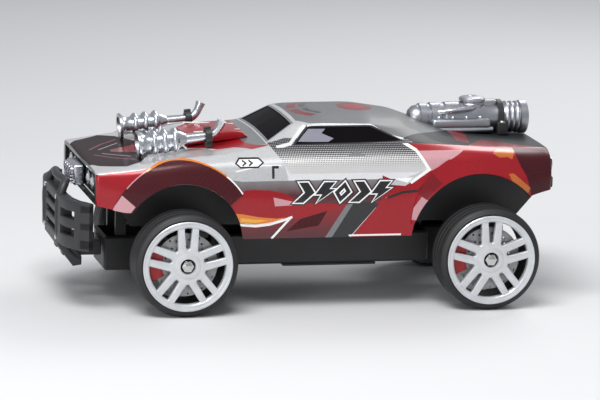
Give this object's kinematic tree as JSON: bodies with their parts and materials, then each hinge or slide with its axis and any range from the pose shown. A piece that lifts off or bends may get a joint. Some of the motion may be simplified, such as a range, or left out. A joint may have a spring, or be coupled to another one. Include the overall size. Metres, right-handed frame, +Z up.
{
  "type": "rc drift car",
  "caption": "Radio-controlled toy car with a fastback shell, plated hood pipes and rear engine, four-wheel drive, and steering by a sliding rack.",
  "frame": {"origin": "centre of the bounding box in plan, on the ground under the wheels", "axes": "+X forward, +Y to the car's left, +Z up"},
  "size_m": [0.292, 0.15, 0.1141],
  "materials": {
    "shell_paint": "gloss, multicolour print",
    "glass_black": "gloss",
    "black_plastic": "fine grain",
    "grey_plastic": "fine grain",
    "chrome": "bright",
    "rim_paint": "satin metallic",
    "brake_metal": "brushed",
    "tyre": "matte",
    "steel": "machined",
    "lamp_clear": "clear gloss",
    "lamp_red": "clear gloss",
    "gear_nylon": "moulded",
    "battery_wrap": "shrink film",
    "board_green": "solder mask"
  },
  "bodies": {
    "chassis": {"body_shell": "shell_paint", "hood_scoop": "shell_paint", "windscreen": "glass_black", "side_window_left": "glass_black", "side_window_right": "glass_black", "chassis_tub": "black_plastic", "front_arm_left": "black_plastic", "front_arm_right": "black_plastic", "front_grille": "black_plastic", "rear_bumper": "black_plastic", "pipe_clip_left": "black_plastic", "pipe_clip_right": "black_plastic", "engine_bracket": "black_plastic", "front_body_mount": "black_plastic", "rear_body_mount": "black_plastic", "switch_housing": "black_plastic", "steering_servo": "black_plastic", "front_bumper": "grey_plastic", "front_gearbox": "grey_plastic", "rear_gearbox": "grey_plastic", "battery_cover": "grey_plastic", "front_engine": "chrome", "hood_pipe_left": "chrome", "hood_pipe_right": "chrome", "rear_engine": "chrome", "headlight_left": "lamp_clear", "headlight_right": "lamp_clear", "tail_light_left": "lamp_red", "tail_light_right": "lamp_red", "drive_motor": "steel", "battery_pack": "battery_wrap", "circuit_board": "board_green"},
    "rear_axle_set": {"rear_axle": "steel", "rear_left_tyre": "tyre", "rear_left_rim": "rim_paint", "rear_left_brake_disc": "brake_metal", "rear_left_wheel_nut": "steel", "rear_right_tyre": "tyre", "rear_right_rim": "rim_paint", "rear_right_brake_disc": "brake_metal", "rear_right_wheel_nut": "steel"},
    "knuckle_l": {"knuckle_left": "grey_plastic"},
    "wheel_fl": {"stub_axle_left": "steel", "front_left_tyre": "tyre", "front_left_rim": "rim_paint", "front_left_brake_disc": "brake_metal", "front_left_wheel_nut": "steel"},
    "knuckle_r": {"knuckle_right": "grey_plastic"},
    "wheel_fr": {"stub_axle_right": "steel", "front_right_tyre": "tyre", "front_right_rim": "rim_paint", "front_right_brake_disc": "brake_metal", "front_right_wheel_nut": "steel"},
    "front_drive": {"front_cross_shaft": "steel"},
    "centre_drive": {"centre_shaft": "steel", "spur_gear": "gear_nylon"},
    "motor_drive": {"motor_pinion": "gear_nylon"},
    "rack": {"steering_rack": "grey_plastic"},
    "servo_horn": {"servo_arm": "gear_nylon"},
    "switch_knob": {"power_switch": "grey_plastic"}
  },
  "joints": [
    {"name": "rear_axle_spin", "type": "hinge", "parent": "chassis", "child": "rear_axle_set", "pos_m": [-0.1013, 0, 0.03], "axis": [0, 1, 0], "continuous": true},
    {"name": "front_left_steer", "type": "hinge", "parent": "chassis", "child": "knuckle_l", "pos_m": [0.0773, 0.047, 0.03], "axis": [0, 0, 1], "range_deg": [-22, 22]},
    {"name": "front_left_wheel_spin", "type": "hinge", "parent": "knuckle_l", "child": "wheel_fl", "pos_m": [0.0773, 0.0615, 0.03], "axis": [0, 1, 0], "continuous": true},
    {"name": "front_right_steer", "type": "hinge", "parent": "chassis", "child": "knuckle_r", "pos_m": [0.0773, -0.047, 0.03], "axis": [0, 0, 1], "range_deg": [-22, 22]},
    {"name": "front_right_wheel_spin", "type": "hinge", "parent": "knuckle_r", "child": "wheel_fr", "pos_m": [0.0773, -0.0615, 0.03], "axis": [0, 1, 0], "continuous": true},
    {"name": "front_drive_spin", "type": "hinge", "parent": "chassis", "child": "front_drive", "pos_m": [0.0773, 0, 0.03], "axis": [0, 1, 0], "continuous": true},
    {"name": "centre_shaft_spin", "type": "hinge", "parent": "chassis", "child": "centre_drive", "pos_m": [-0.012, 0, 0.03], "axis": [1, 0, 0], "continuous": true},
    {"name": "motor_spin", "type": "hinge", "parent": "chassis", "child": "motor_drive", "pos_m": [-0.078, 0, 0.0405], "axis": [1, 0, 0], "continuous": true},
    {"name": "rack_slide", "type": "slide", "parent": "chassis", "child": "rack", "axis": [0, 1, 0], "range_m": [-0.0053, 0.0053]},
    {"name": "servo_turn", "type": "hinge", "parent": "chassis", "child": "servo_horn", "pos_m": [0.05, 0, 0.045], "axis": [0, 0, 1], "range_deg": [-24, 24]},
    {"name": "switch_slide", "type": "slide", "parent": "chassis", "child": "switch_knob", "axis": [1, 0, 0], "range_m": [0, 0.004]}
  ],
  "couplings": [
    {"joint": "front_left_wheel_spin", "follows": "rear_axle_spin", "ratio": 1},
    {"joint": "front_right_wheel_spin", "follows": "rear_axle_spin", "ratio": 1},
    {"joint": "front_drive_spin", "follows": "rear_axle_spin", "ratio": 1},
    {"joint": "centre_shaft_spin", "follows": "rear_axle_spin", "ratio": -2},
    {"joint": "motor_spin", "follows": "rear_axle_spin", "ratio": 5},
    {"joint": "front_right_steer", "follows": "front_left_steer", "ratio": 1},
    {"joint": "rack_slide", "follows": "front_left_steer", "m_per_rad": -0.01366},
    {"joint": "servo_turn", "follows": "front_left_steer", "ratio": -1.056}
  ]
}
